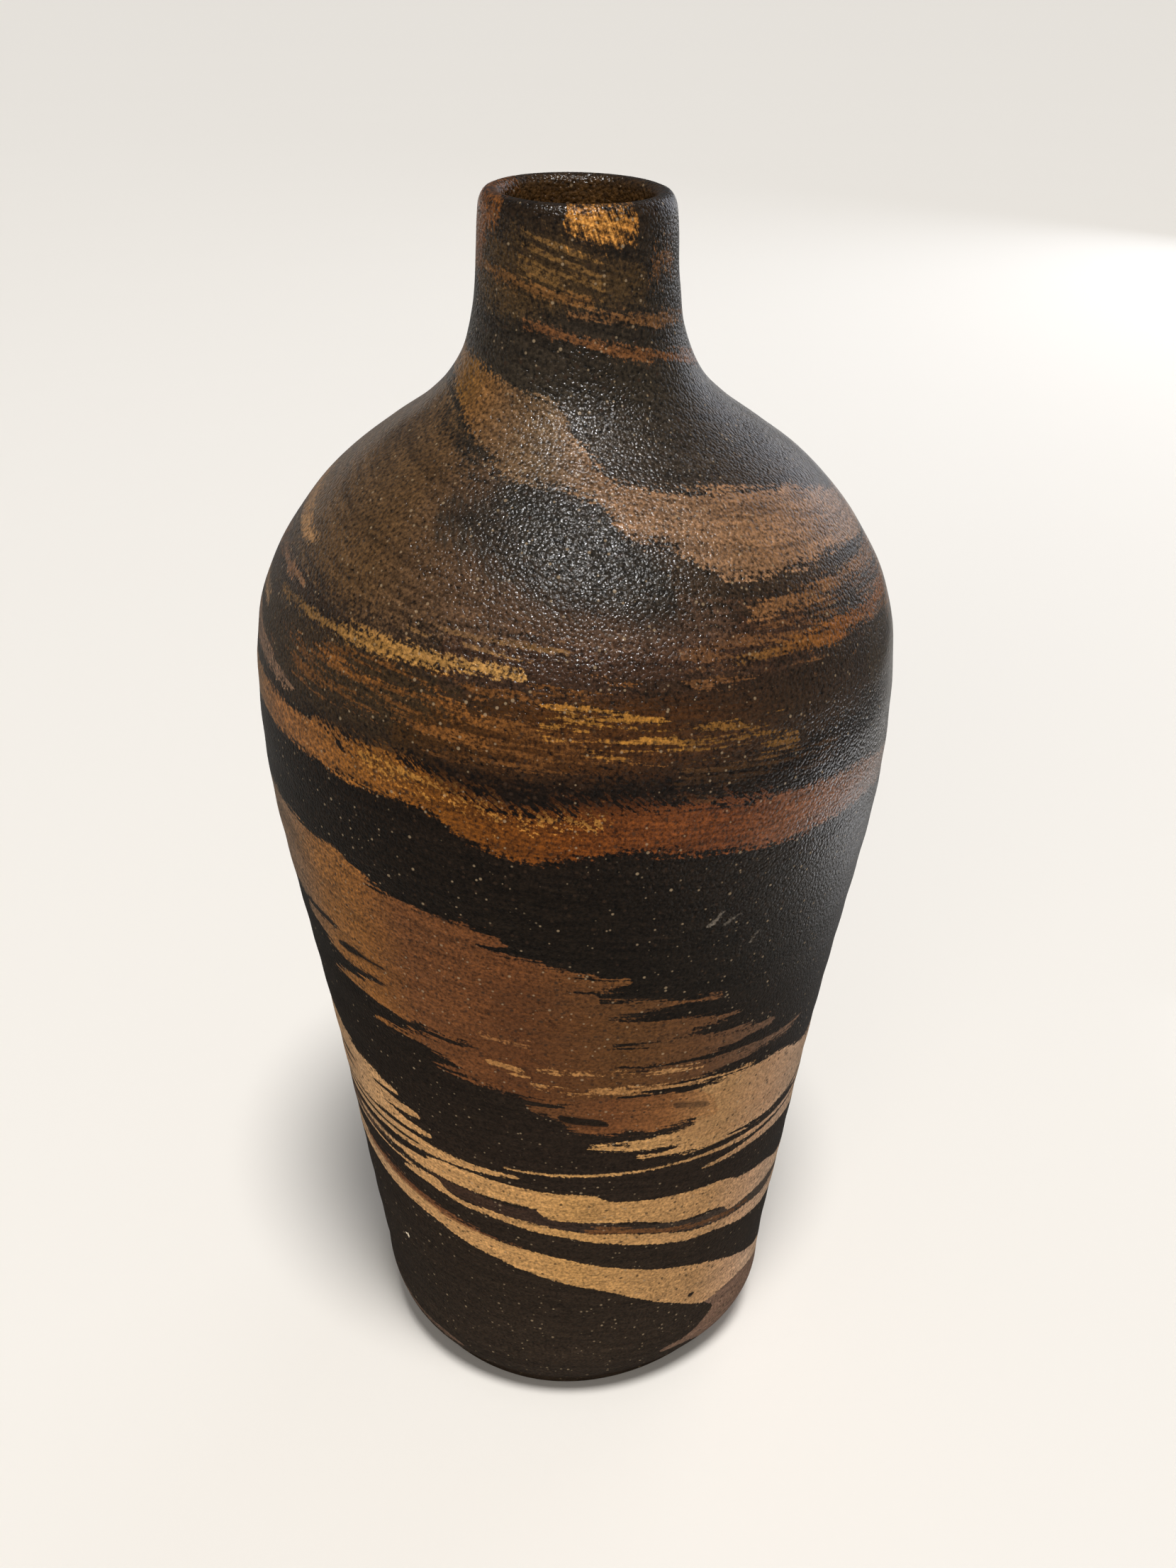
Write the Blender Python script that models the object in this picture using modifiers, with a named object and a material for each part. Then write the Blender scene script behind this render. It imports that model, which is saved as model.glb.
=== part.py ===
"""Sake bottle (tokkuri): one thrown and fired clay body, open at the mouth.

The bottle is a body of revolution about Z. It stands on a low trimmed foot ring, widens slowly to a
full shoulder about two thirds of the way up, and closes through a soft S-curve into a narrow neck
with a rolled lip. It is one piece of clay, so it is one node.

Units are metres, +Z is up, and the origin is the middle of the foot, on the surface it stands on.
"""
import math

import bpy
import numpy as np

MM = 0.001

# ---- Driving dimensions -------------------------------------------------------------------------
HEIGHT = 160.5 * MM          # foot to the crest of the lip

# The outer wall, as (height, radius) in millimetres, where a potter would set the callipers.
WALL_STATIONS_MM = (
    (0.7, 24.4),             # top of the foot ring's eased edge
    (3.2, 26.1),             # bevel trimmed under the body
    (5.6, 27.3),             # the body rounds out of the bevel
    (9.6, 28.0),             # heel
    (19.2, 29.2),
    (48.0, 32.8),            # the body widens slowly and almost straight
    (80.0, 37.6),
    (91.0, 39.1),
    (101.0, 39.55),          # widest point
    (109.0, 39.2),
    (115.2, 37.9),           # crest of the shoulder
    (120.8, 35.1),
    (125.6, 31.7),
    (129.6, 27.8),
    (133.6, 22.5),           # steepest part of the S-curve
    (137.6, 17.1),
    (144.0, 12.85),          # root of the neck
    (152.0, 11.55),
    (158.0, 11.2),           # under the lip
)

LIP_CREST_R = 9.8 * MM       # radius of the lip's highest circle
MOUTH_R = 8.6 * MM           # radius of the open mouth
MOUTH_ROLL_H = 1.2 * MM      # height of the lip's fall from its crest to the mouth

WALL_BODY = 4.0 * MM         # clay thickness in the body
WALL_NECK = 2.7 * MM         # clay thickness in the neck
THINNING = (112.0 * MM, 146.0 * MM)   # heights between which the wall thins from body to neck

FLOOR_Z = 6.5 * MM           # inside floor
FLOOR_ROUND = 12.0 * MM      # radius of the round between the floor and the inner wall

FOOT_INNER_R = 19.0 * MM     # inside edge of the foot ring's flat
FOOT_EASE = 0.7 * MM         # radius of the foot ring's outer edge
RECESS_H = 1.6 * MM          # depth of the hollow under the foot
RECESS_ROUND = 1.6 * MM      # radius of the round inside the foot ring

# ---- How finely it is cut -----------------------------------------------------------------------
TURN_STEPS = 48              # facets around
OUTER_ROWS = 28              # rows down the outer wall
INNER_ROWS = 18              # rows up the inner wall
ARC_ROWS = 4                 # rows in each rounded edge

CLAY_COLOUR = (0.045, 0.030, 0.021)
CLAY_ROUGHNESS = 0.45


def natural_spline(stations):
    """A function r(z), with its slope, that runs smoothly through the (z, r) stations."""
    z, r = np.array(stations).T
    gaps = np.diff(z)
    slopes = np.diff(r) / gaps
    count = len(z)
    system = np.eye(count)
    bend = np.zeros(count)
    for i in range(1, count - 1):
        system[i, i - 1:i + 2] = (gaps[i - 1], 2 * (gaps[i - 1] + gaps[i]), gaps[i])
        bend[i] = 6 * (slopes[i] - slopes[i - 1])
    curvature = np.linalg.solve(system, bend)

    def radius_and_slope(height):
        i = int(np.clip(np.searchsorted(z, height) - 1, 0, count - 2))
        up, down = height - z[i], z[i + 1] - height
        gap = gaps[i]
        low, high = curvature[i], curvature[i + 1]
        radius = (low * down ** 3 + high * up ** 3) / (6 * gap)
        radius += (r[i] / gap - low * gap / 6) * down + (r[i + 1] / gap - high * gap / 6) * up
        slope = (high * up ** 2 - low * down ** 2) / (2 * gap)
        slope += (r[i + 1] - r[i]) / gap - (high - low) * gap / 6
        return radius, slope

    return radius_and_slope


WALL = natural_spline([(height * MM, radius * MM) for height, radius in WALL_STATIONS_MM])
WALL_FOOT_Z = WALL_STATIONS_MM[0][0] * MM
WALL_TOP_Z = WALL_STATIONS_MM[-1][0] * MM


def clay_thickness(height):
    """Wall thickness: full in the body, thinning smoothly into the neck."""
    share = min(max((height - THINNING[0]) / (THINNING[1] - THINNING[0]), 0.0), 1.0)
    ease = share * share * (3 - 2 * share)
    return WALL_BODY + (WALL_NECK - WALL_BODY) * ease


def inner_point(height):
    """The point inside the wall, one clay thickness in from the outer wall at this height."""
    radius, slope = WALL(height)
    length = math.hypot(1.0, slope)
    thickness = clay_thickness(height)
    return radius - thickness / length, height + thickness * slope / length


def arc(centre, radii, start_deg, end_deg, rows):
    """Points (r, z) on an ellipse's arc, both ends included."""
    angles = np.radians(np.linspace(start_deg, end_deg, rows + 1))
    return [(centre[0] + radii[0] * math.cos(a), centre[1] + radii[1] * math.sin(a)) for a in angles]


def rows_between(low, high, rows):
    """Heights from low to high, closer together where the wall bends or leans most."""
    fine = np.linspace(low, high, 400)
    slopes = np.array([WALL(height)[1] for height in fine])
    bend = np.abs(np.gradient(np.arctan(slopes), fine))
    weight = np.hypot(1.0, slopes) + 0.02 * bend
    run = np.concatenate(([0.0], np.cumsum((weight[1:] + weight[:-1]) / 2)))
    return np.interp(np.linspace(0, run[-1], rows + 1), run, fine)


def bottle_outline():
    """The closed wall's outline (r, z): floor, inner wall, lip, outer wall, foot and hollow."""
    outline = [(0.0, FLOOR_Z)]

    round_top_z = FLOOR_Z + FLOOR_ROUND
    round_r = inner_point(round_top_z)[0] - FLOOR_ROUND
    outline += arc((round_r, round_top_z), (FLOOR_ROUND, FLOOR_ROUND), -90, 0, ARC_ROWS)

    inner_heights = rows_between(round_top_z, WALL_TOP_Z, INNER_ROWS)
    outline += [inner_point(height) for height in inner_heights[1:-1]]

    mouth_centre = (LIP_CREST_R, HEIGHT - MOUTH_ROLL_H)
    outline += arc(mouth_centre, (LIP_CREST_R - MOUTH_R, MOUTH_ROLL_H), 180, 90, ARC_ROWS)
    lip_radii = (WALL(WALL_TOP_Z)[0] - LIP_CREST_R, HEIGHT - WALL_TOP_Z)
    outline += arc((LIP_CREST_R, WALL_TOP_Z), lip_radii, 90, 0, ARC_ROWS)[1:]

    outer_heights = rows_between(WALL_FOOT_Z, WALL_TOP_Z, OUTER_ROWS)
    outline += [(WALL(height)[0], height) for height in reversed(outer_heights[:-1])]

    foot_r = WALL(WALL_FOOT_Z)[0]
    ease_centre = (foot_r - FOOT_EASE, FOOT_EASE)
    outline += arc(ease_centre, (FOOT_EASE, FOOT_EASE), 0, -90, ARC_ROWS)[1:]

    outline += arc((FOOT_INNER_R - RECESS_ROUND, 0.0), (RECESS_ROUND, RECESS_H), 0, 90, ARC_ROWS)
    outline.append((0.0, RECESS_H))
    return outline


def clay_material():
    """Dark fired clay under a thin glaze."""
    material = bpy.data.materials.new("glazed_stoneware")
    material.use_nodes = True
    shader = material.node_tree.nodes["Principled BSDF"]
    shader.inputs["Base Color"].default_value = (*CLAY_COLOUR, 1.0)
    shader.inputs["Roughness"].default_value = CLAY_ROUGHNESS
    shader.inputs["Metallic"].default_value = 0.0
    material.diffuse_color = (*CLAY_COLOUR, 1.0)
    return material


def turned(name, outline, collection):
    """A body of revolution: the outline at +X, swept once round Z by a Screw modifier."""
    mesh = bpy.data.meshes.new(name)
    points = [(radius, 0.0, height) for radius, height in outline]
    mesh.from_pydata(points, [(i, i + 1) for i in range(len(points) - 1)], [])
    body = bpy.data.objects.new(name, mesh)
    collection.objects.link(body)

    screw = body.modifiers.new("turn", "SCREW")
    screw.axis = "Z"
    screw.angle = math.tau
    screw.steps = TURN_STEPS
    screw.render_steps = TURN_STEPS
    screw.use_merge_vertices = True
    screw.merge_threshold = 0.00001
    return body


def main():
    for leftover in list(bpy.data.objects):
        bpy.data.objects.remove(leftover, do_unlink=True)

    collection = bpy.data.collections.new("sake_bottle")
    bpy.context.scene.collection.children.link(collection)

    bottle = turned("bottle", bottle_outline(), collection)
    bottle.data.materials.append(clay_material())
    bottle.data.shade_smooth()
    bottle.data.set_sharp_from_angle(angle=math.radians(40))


main()
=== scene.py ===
# %% [markdown]
# # A marbled sake bottle
# A tokkuri is the bottle that sake is warmed and poured in. This one is thrown from clays of several
# colours wedged together, so its bands are in the wall and not painted on it. The solid bottle has
# already been designed and packed; this lesson builds the fine surface and its finish around it.

# %% Load the frame
import math

import bmesh
import bpy
import numpy as np
from mathutils import Matrix, Vector


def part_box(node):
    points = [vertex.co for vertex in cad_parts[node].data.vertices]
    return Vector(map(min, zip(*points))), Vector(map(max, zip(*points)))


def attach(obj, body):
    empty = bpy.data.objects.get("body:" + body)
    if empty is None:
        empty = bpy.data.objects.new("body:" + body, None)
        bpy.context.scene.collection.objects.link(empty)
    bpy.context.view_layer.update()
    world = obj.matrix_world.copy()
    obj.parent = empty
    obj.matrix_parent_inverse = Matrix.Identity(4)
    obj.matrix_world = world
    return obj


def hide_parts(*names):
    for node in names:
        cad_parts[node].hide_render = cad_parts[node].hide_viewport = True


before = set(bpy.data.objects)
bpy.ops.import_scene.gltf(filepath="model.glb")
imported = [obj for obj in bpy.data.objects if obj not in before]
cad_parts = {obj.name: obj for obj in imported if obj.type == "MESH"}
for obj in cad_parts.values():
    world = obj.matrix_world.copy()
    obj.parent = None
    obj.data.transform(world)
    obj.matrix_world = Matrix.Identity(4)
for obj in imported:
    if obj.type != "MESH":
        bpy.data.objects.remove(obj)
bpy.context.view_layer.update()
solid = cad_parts["bottle"]
foot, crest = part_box("bottle")
MM = 0.001
TALL = crest.z - foot.z
TALL_MM = TALL / MM
print("height", round(TALL_MM, 1), "mm, widest", round((crest.x - foot.x) / MM, 1), "mm")

# %% [markdown]
# ## The view
# The camera looks down on the bottle from close by, at 29 degrees, from a little more than one
# bottle's height away. So close, the circles of the mouth and foot open by different amounts, and
# that is what makes the shoulder look broad and the foot small. Distances are shares of the height.

# %% Camera
CAMERA_BACK = 1.1833 * TALL
CAMERA_UP = 1.1943 * TALL
TILT_DOWN, PAN_RIGHT, ROLL = math.radians(29.2), math.radians(0.51), math.radians(0.5)

camera = bpy.data.objects.new("camera", bpy.data.cameras.new("camera"))
bpy.context.scene.collection.objects.link(camera)
bpy.context.scene.camera = camera
camera.data.lens = 37.9
camera.data.clip_start = 0.01
aim = Matrix.Rotation(-PAN_RIGHT, 4, "Z") @ Matrix.Rotation(math.pi / 2 - TILT_DOWN, 4, "X")
stand = Matrix.Translation((0, -CAMERA_BACK, CAMERA_UP))
camera.matrix_world = stand @ aim @ Matrix.Rotation(ROLL, 4, "Z")
print("camera at", [round(value, 3) for value in camera.matrix_world.translation])

# %% [markdown]
# ## Colours
# Colours are written as the hex values a paint chart would give. Blender's shaders work in linear
# light, so one function turns them.


# %% Hex to linear
def linear(hex_colour):
    """An sRGB hex colour as the linear RGBA that a shader socket takes."""
    parts = [int(hex_colour[i:i + 2], 16) / 255 for i in (0, 2, 4)]
    return (*[c / 12.92 if c <= 0.04045 else ((c + 0.055) / 1.055) ** 2.4 for c in parts], 1.0)


print("half grey 808080 is", round(linear("808080")[0], 3), "in linear light")

# %% [markdown]
# ## Adding nodes
# Every material below is made with one small function. Settings are the node's own properties, and
# feeds are its inputs: a socket or a node is linked, and anything else is set as a value.


# %% One function for every node
def put(tree, kind, feeds=None, **settings):
    """Adds a node to the tree, with its settings and its feeds, and gives it back."""
    made = tree.nodes.new(kind)
    for name, value in settings.items():
        setattr(made, name, value)
    for key, value in (feeds or {}).items():
        if isinstance(value, bpy.types.Node):
            value = value.outputs[0]
        if isinstance(value, bpy.types.NodeSocket):
            tree.links.new(value, made.inputs[key])
        else:
            made.inputs[key].default_value = value
    return made


# %% [markdown]
# ## Studio
# The bottle stands on a plain pale floor. The main light is nearly overhead and a little in front,
# which puts the one bright highlight on the shoulder. It is a sun lamp with a wide disc: it is as soft
# as a softbox, but it lights the whole floor evenly, out to the horizon. A large softbox fills the
# front. It is hidden from reflections, as a photographer hides one with a polarising filter, because
# it would lay a grey veil over the dark clay. For the same reason two grey cards lie on the floor,
# where only reflections see them: they keep the white floor out of the glaze, except for a strip at the
# right, which gives the sheen along that edge. A low bounce card brightens the strip, and a dim window
# behind helps it. A small, hard light beside the main one shows only in the glaze, as sparks on the
# shoulder and the lip. Seen past the floor's end, the background is pale, but it lights the bottle dimly.

# %% Floor
FLOOR_SIZE = 6.0
floor_mesh = bmesh.new()
bmesh.ops.create_grid(floor_mesh, x_segments=1, y_segments=1, size=FLOOR_SIZE / 2)
floor_data = bpy.data.meshes.new("floor")
floor_mesh.to_mesh(floor_data)
floor_mesh.free()
floor = bpy.data.objects.new("floor", floor_data)
bpy.context.scene.collection.objects.link(floor)

paper = bpy.data.materials.new("pale_paper")
paper.use_nodes = True
paper_shader = paper.node_tree.nodes["Principled BSDF"]
paper_shader.inputs["Base Color"].default_value = linear("F5F4F1")
paper_shader.inputs["Roughness"].default_value = 0.9
floor_data.materials.append(paper)
print("floor", FLOOR_SIZE, "m across")

# %% Grey cards, for the reflections alone
CARD_REACH = 6.0             # in bottle heights, on every side
CARD_LIFT = 0.2 * MM
WHITE_FROM, WHITE_TO = 0.66, 0.98    # the strip of white floor between the cards

flock = bpy.data.materials.new("grey_flock")
flock.use_nodes = True
flock_shader = flock.node_tree.nodes["Principled BSDF"]
flock_shader.inputs["Base Color"].default_value = linear("6E6E6C")
flock_shader.inputs["Roughness"].default_value = 1.0
flock_shader.inputs["Specular IOR Level"].default_value = 0.0


def reflection_card(name, left, right):
    """A flat card just over the floor, from left to right in bottle heights, seen in the glaze only."""
    card_mesh = bmesh.new()
    bmesh.ops.create_grid(card_mesh, x_segments=1, y_segments=1, size=TALL / 2)
    card_data = bpy.data.meshes.new(name)
    card_mesh.to_mesh(card_data)
    card_mesh.free()
    card_data.materials.append(flock)
    card = bpy.data.objects.new(name, card_data)
    card.location = ((left + right) / 2 * TALL, 0, CARD_LIFT)
    card.scale = (right - left, 2 * CARD_REACH, 1)
    card.visible_camera = False
    card.visible_diffuse = False
    card.visible_shadow = False
    bpy.context.scene.collection.objects.link(card)


reflection_card("grey_card_left", -CARD_REACH, WHITE_FROM)
reflection_card("grey_card_right", WHITE_TO, CARD_REACH)
print("white floor between the cards:", round((WHITE_TO - WHITE_FROM) * TALL / MM), "mm wide")

# %% Lights
def aimed(name, lamp, spot):
    """Stands a lamp at spot, given in bottle heights, and turns it to the middle of the bottle."""
    holder = bpy.data.objects.new(name, lamp)
    bpy.context.scene.collection.objects.link(holder)
    place = Vector(spot) * TALL
    turned = (Vector((0, 0, TALL / 2)) - place).to_track_quat("-Z", "Y")
    holder.matrix_world = Matrix.Translation(place) @ turned.to_matrix().to_4x4()
    holder.visible_camera = False
    return holder


def softbox(name, spot, size, watts, colour):
    """A square soft light, with its size in bottle heights."""
    lamp = bpy.data.lights.new(name, "AREA")
    lamp.size = size * TALL
    lamp.energy = watts
    lamp.color = linear(colour)[:3]
    return aimed(name, lamp, spot)


overhead = bpy.data.lights.new("overhead", "SUN")
overhead.energy = 2.5
overhead.angle = math.radians(14)
overhead.color = linear("FFFAF4")[:3]
aimed("overhead", overhead, (0.3, -1.4, 5.3))
front_fill = softbox("front_fill", (-1.2, -6.0, 2.4), 4.5, 4.0, "FFF4E6")
front_fill.visible_glossy = False
softbox("window_right", (3.0, 4.0, 1.8), 3.0, 0.9, "F0F4FF")
bounce = softbox("bounce_right", (0.8, 0.3, 0.02), 0.3, 0.022, "F6F8FF")
bounce.visible_diffuse = False
sparks = bpy.data.lights.new("sparks", "SUN")
sparks.energy = 1.7
sparks.angle = math.radians(2)
sparks.color = linear("EEF3FF")[:3]
aimed("sparks", sparks, (0.25, -1.5, 5.4)).visible_diffuse = False

WORLD_LIGHTS = 0.14
WORLD_SEEN = 0.85
world = bpy.data.worlds.new("studio")
world.use_nodes = True
world.node_tree.nodes["Background"].inputs["Color"].default_value = linear("F2F4F7")
path = put(world.node_tree, "ShaderNodeLightPath")
strengths = {"Value": path.outputs["Is Camera Ray"], "To Min": WORLD_LIGHTS, "To Max": WORLD_SEEN}
strength = put(world.node_tree, "ShaderNodeMapRange", strengths)
world.node_tree.links.new(strength.outputs[0], world.node_tree.nodes["Background"].inputs["Strength"])
bpy.context.scene.world = world
bpy.context.scene.view_settings.view_transform = "Standard"

# %% [markdown]
# ## The wall
# A thrown pot is a surface of revolution, so the wall starts as half of its outline and is spun once
# round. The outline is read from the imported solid, where it crosses the half-plane at +X: that way
# the fine wall can't drift from the design. A smooth curve is then run through those points.

# %% Read the outline
WELD = 0.000001


def half_outline(source):
    """(radius, height) points down the solid's wall: inside floor, inner wall, lip, outside, foot."""
    cut = bmesh.new()
    cut.from_mesh(source.data)
    bmesh.ops.remove_doubles(cut, verts=cut.verts, dist=WELD)
    elsewhere = [v for v in cut.verts if abs(v.co.y) > WELD or v.co.x < -WELD]
    bmesh.ops.delete(cut, geom=elsewhere, context="VERTS")
    here = max((v for v in cut.verts if len(v.link_edges) == 1), key=lambda v: v.co.z)
    walked = [here]
    while True:
        ahead = [e.other_vert(here) for e in here.link_edges if e.other_vert(here) not in walked]
        if not ahead:
            break
        here = ahead[0]
        walked.append(here)
    points = np.array([(v.co.x, v.co.z) for v in walked])
    cut.free()
    return points


coarse = half_outline(solid)
print(len(coarse), "points from floor", coarse[0].round(4), "to foot", coarse[-1].round(4))

# %% Smooth it
OUTSIDE_ROW = 0.7 * MM
INSIDE_ROW = 1.6 * MM
FINE_BEFORE_LIP = 8          # points of the outline before the lip that are cut as fine as the outside


def smooth_rows(points):
    """The outline as closer rows on a curve through its points, and which share of each is inside."""
    reach = np.concatenate(([0.0], np.cumsum(np.hypot(*np.diff(points, axis=0).T))))
    lean = np.gradient(points, reach, axis=0)
    lip = int(np.argmax(points[:, 1]))
    rows = []
    for i in range(len(points) - 1):
        gap = reach[i + 1] - reach[i]
        count = max(1, math.ceil(gap / (INSIDE_ROW if i < lip - FINE_BEFORE_LIP else OUTSIDE_ROW)))
        for step in range(count):
            t = step / count
            start = (1 + 2 * t) * (1 - t) ** 2 * points[i] + t * (1 - t) ** 2 * gap * lean[i]
            end = t * t * (3 - 2 * t) * points[i + 1] + t * t * (t - 1) * gap * lean[i + 1]
            rows.append((*(start + end), reach[lip] - (reach[i] + t * gap)))
    rows.append((*points[-1], reach[lip] - reach[-1]))
    rows = np.array(rows)
    rows[:, 1] = np.maximum(rows[:, 1], foot.z)
    return rows


rows = smooth_rows(coarse)
print(len(rows), "rows, crest at", (rows[:, 1].max() / MM).round(2), "mm")

# %% [markdown]
# ## Spin it
# The rows become one chain of vertices, and bmesh's spin turns the chain once round the axis. Each
# vertex carries a number that says how far inside the bottle it is: the finish reads it to change
# from the outside clay to the glaze pooled inside the neck.

# %% Spin
COLUMNS = 192
LIP_TURNOVER = 2.5 * MM

wall = bmesh.new()
inside = wall.verts.layers.float.new("inside")
chain = []
for radius, height, before_lip in rows:
    vertex = wall.verts.new((max(radius, 0.0), 0.0, height))
    vertex[inside] = min(max(before_lip / LIP_TURNOVER, 0.0), 1.0)
    chain.append(vertex)
edges = [wall.edges.new(pair) for pair in zip(chain, chain[1:])]
bmesh.ops.spin(
    wall, geom=chain + edges, cent=(0, 0, 0), axis=(0, 0, 1), dvec=(0, 0, 0),
    angle=math.tau, steps=COLUMNS, use_merge=True, use_duplicate=False,
)
bmesh.ops.remove_doubles(wall, verts=wall.verts, dist=WELD)
bmesh.ops.recalc_face_normals(wall, faces=wall.faces)
print(len(wall.verts), "vertices,", len(wall.faces), "faces,",
      sum(not edge.is_manifold for edge in wall.edges), "open edges")

# %% [markdown]
# ## A potter's hands
# No thrown wall is a perfect turning. Fingers leave a shallow spiral ridge as the wall is pulled up,
# the soft clay goes a little out of round when it is lifted off the wheel, and the knife that trims
# the foot cuts deeper on one side. These are tenths of a millimetre, but they are moved in the mesh
# and not left to the finish, so that they show at the outline as well.

# %% Finger ridges and hand wobble
RIDGE_PITCH = 6.5 * MM
RIDGE = 0.035 * MM
WOBBLE = 0.12 * MM
LIP_TILT = 0.12 * MM
FOOT_TRIM = 0.6 * MM
END_FADE = 12                # the ridges fade out within a twelfth of the height from either end,
FOOT_FADE = 16               # the trimmed foot within a sixteenth,
LIP_FADE = 10                # and the tilted lip within a tenth
SWELL = 23                   # a slower wave in the ridges, in radians over the height
TRIMMED = (28, 45)           # where the knife cut deeper: its middle and its reach, in degrees
LEFT_FULL = (62, 30)         # and where it left the wall full, just above
FULL_AT = 0.9                # the height of that place, in sixteenths


def bump_at(angle, middle_deg, reach_deg):
    """1 at the middle angle, falling smoothly to 0 at the reach on both sides."""
    away = math.degrees(angle) - middle_deg
    return 0.5 + 0.5 * math.cos(math.pi * away / reach_deg) if abs(away) < reach_deg else 0.0


def hand_made(vertex):
    """How far a vertex moves out and up."""
    angle = math.atan2(vertex.co.x, -vertex.co.y)
    share = vertex.co.z / TALL
    outside = 1 - vertex[inside]
    clear_of_ends = min(1.0, END_FADE * share) * min(1.0, END_FADE * (1 - share))
    ridge = math.sin(math.tau * vertex.co.z / RIDGE_PITCH + angle)
    ridge = ridge + 0.5 * math.sin(SWELL * share + 2 * angle)
    out = RIDGE * ridge * outside * clear_of_ends
    out += WOBBLE * share * math.sin(2 * angle + 0.9) * min(1.0, END_FADE * share)
    at_foot = outside * max(0.0, 1 - FOOT_FADE * share)
    above_foot = outside * max(0.0, 1 - abs(FOOT_FADE * share - FULL_AT))
    out -= FOOT_TRIM * at_foot * bump_at(angle, *TRIMMED)
    out += FOOT_TRIM * above_foot * bump_at(angle, *LEFT_FULL)
    up = -LIP_TILT * max(0.0, LIP_FADE * share - (LIP_FADE - 1)) * math.sin(angle + 0.3)
    return out, up


# %% Move the wall and hang it in the frame
farthest = 0.0
for vertex in wall.verts:
    radius = math.hypot(vertex.co.x, vertex.co.y)
    if radius > WELD:
        out, up = hand_made(vertex)
        vertex.co.x *= 1 + out / radius
        vertex.co.y *= 1 + out / radius
        vertex.co.z += up
        farthest = max(farthest, abs(out))
for face in wall.faces:
    face.smooth = True

bottle_data = bpy.data.meshes.new("bottle_wall")
wall.to_mesh(bottle_data)
wall.free()
bottle = bpy.data.objects.new("bottle_wall", bottle_data)
bpy.context.scene.collection.objects.link(bottle)
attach(bottle, "root")
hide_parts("bottle")
print("moved by", round(farthest / MM, 2), "mm at most;", bottle.name, "rides the bottle's body")

# %% [markdown]
# ## Marbled stoneware: where things are
# The finish is worked out on a map of the wall. Across the map is the angle round the bottle, from
# -180 to 180 degrees with 0 at the front, and up the map is the height. The shader gets both from
# Object coordinates: the angle with an arctangent, as a share of one turn, and the height as a share
# of the bottle's.

# %% Angle and height
clay = bpy.data.materials.new("marbled_stoneware")
clay.use_nodes = True
tree = clay.node_tree
tree.nodes.clear()

spot = put(tree, "ShaderNodeTexCoord").outputs["Object"]
axes = put(tree, "ShaderNodeSeparateXYZ", {0: spot})
towards_front = put(tree, "ShaderNodeMath", {0: axes.outputs["Y"], 1: -1.0}, operation="MULTIPLY")
angle = put(tree, "ShaderNodeMath", {0: axes.outputs["X"], 1: towards_front}, operation="ARCTAN2")
turn = put(tree, "ShaderNodeMath", {0: angle, 1: 1 / math.tau, 2: 0.5}, operation="MULTIPLY_ADD")
level = put(tree, "ShaderNodeMath", {0: axes.outputs["Z"], 1: 1 / TALL}, operation="MULTIPLY")
print("turn runs from 0 to 1 round the back, and level from 0 to 1 up the", round(TALL_MM, 1), "mm")

# %% [markdown]
# ## How the clay tears
# When wedged clays are pulled up on the wheel, their borders are dragged out along the spiral of the
# potter's fingers. So the noise that tears the bands' edges is wound on a spiral too: it falls by one
# pitch in each turn, and is long along the spiral and narrow across it. It repeats after a pitch,
# which lets it close on itself at the back without a seam. Three noises are used: long streaks on the
# flat spiral of the wheel, short flecks on the steeper path that the glaze runs down, and an even one
# with the size of the grog, the crushed fired clay in the body.


# %% Noise wound on a spiral
def wound_noise(pitch_mm, long_mm, wide_mm, detail):
    """A noise that is long along a falling spiral and narrow across it, and closes at the back."""
    fall = {0: level, 1: TALL_MM / pitch_mm, 2: turn}
    along = put(tree, "ShaderNodeMath", fall, operation="MULTIPLY_ADD")
    phase = put(tree, "ShaderNodeMath", {0: along, 1: math.tau}, operation="MULTIPLY")
    reach = pitch_mm / math.tau / wide_mm
    parts = []
    for wave in ("COSINE", "SINE"):
        swing = put(tree, "ShaderNodeMath", {0: phase}, operation=wave)
        parts.append(put(tree, "ShaderNodeMath", {0: swing, 1: reach}, operation="MULTIPLY"))
    for axis in ("X", "Y"):
        feeds = {0: axes.outputs[axis], 1: 1 / (long_mm * MM)}
        parts.append(put(tree, "ShaderNodeMath", feeds, operation="MULTIPLY"))
    wound = put(tree, "ShaderNodeCombineXYZ", {0: parts[0], 1: parts[1], 2: parts[2]})
    feeds = {"Vector": wound, "W": parts[3], "Scale": 1.0, "Detail": detail, "Roughness": 0.6}
    return put(tree, "ShaderNodeTexNoise", feeds, noise_dimensions="4D")


streak = wound_noise(pitch_mm=25.0, long_mm=8.0, wide_mm=0.6, detail=3.0)
fleck = wound_noise(pitch_mm=200.0, long_mm=1.7, wide_mm=0.5, detail=3.0)
GROG_MM = 0.4
grog = put(tree, "ShaderNodeTexNoise", {"Vector": spot, "Scale": 1 / (GROG_MM * MM), "Detail": 2.0,
                                        "Roughness": 0.6})
print("three noises:", len(tree.nodes), "nodes")

# %% [markdown]
# ## Kinds of edge
# Low on the wall the clay is bare and its edges are crisp. In the middle they are torn into fingers.
# Under the glaze they are soft, and some have melted away into flecks. A kind of edge is how far each
# noise pushes the border, in millimetres, and how wide the border fades. Thinning draws the border
# in. A streaked band is held so shallow that the noise breaks all of it into strokes.

# %% Edges
NOISE_SWING = 5.0            # a noise runs from about 0.4 to 0.6, so this turns its swing into about 1


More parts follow.
